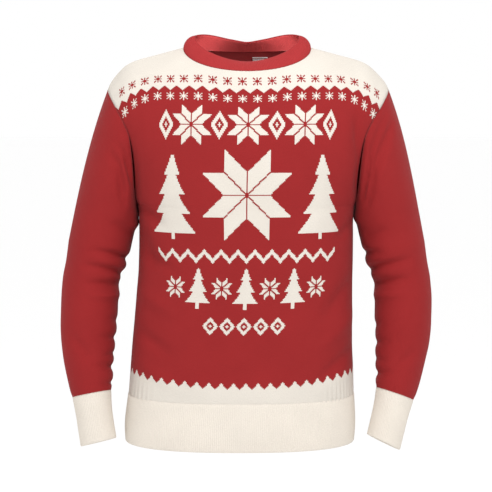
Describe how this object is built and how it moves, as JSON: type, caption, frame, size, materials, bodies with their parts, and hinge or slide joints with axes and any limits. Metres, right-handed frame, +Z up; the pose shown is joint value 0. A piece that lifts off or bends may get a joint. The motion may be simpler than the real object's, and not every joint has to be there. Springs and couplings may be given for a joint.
{
  "type": "christmas sweater",
  "caption": "Knitted crew-neck christmas sweater filled out as if worn, with hollow body and sleeves, cream yoke, star and fir motifs, and ribbed cuffs, hem and neckband.",
  "frame": {"origin": "midway between the neck ends of the shoulder seams, where the garment rests on the wearer", "axes": "+X to the wearer's left, -Y the way the front faces, +Z up from hem to neck"},
  "size_m": [0.6328, 0.248, 0.7015],
  "materials": {
    "red_knit": "matte",
    "cream_rib": "matte",
    "red_rib": "matte",
    "white_satin": "satin"
  },
  "bodies": {
    "root": {"front_panel": "red_knit", "back_panel": "red_knit", "sleeve_left": "red_knit", "sleeve_right": "red_knit", "cuff_left": "cream_rib", "cuff_right": "cream_rib", "hem_band_front": "cream_rib", "hem_band_back": "cream_rib", "neckband": "red_rib", "neck_label": "white_satin"}
  },
  "joints": []
}
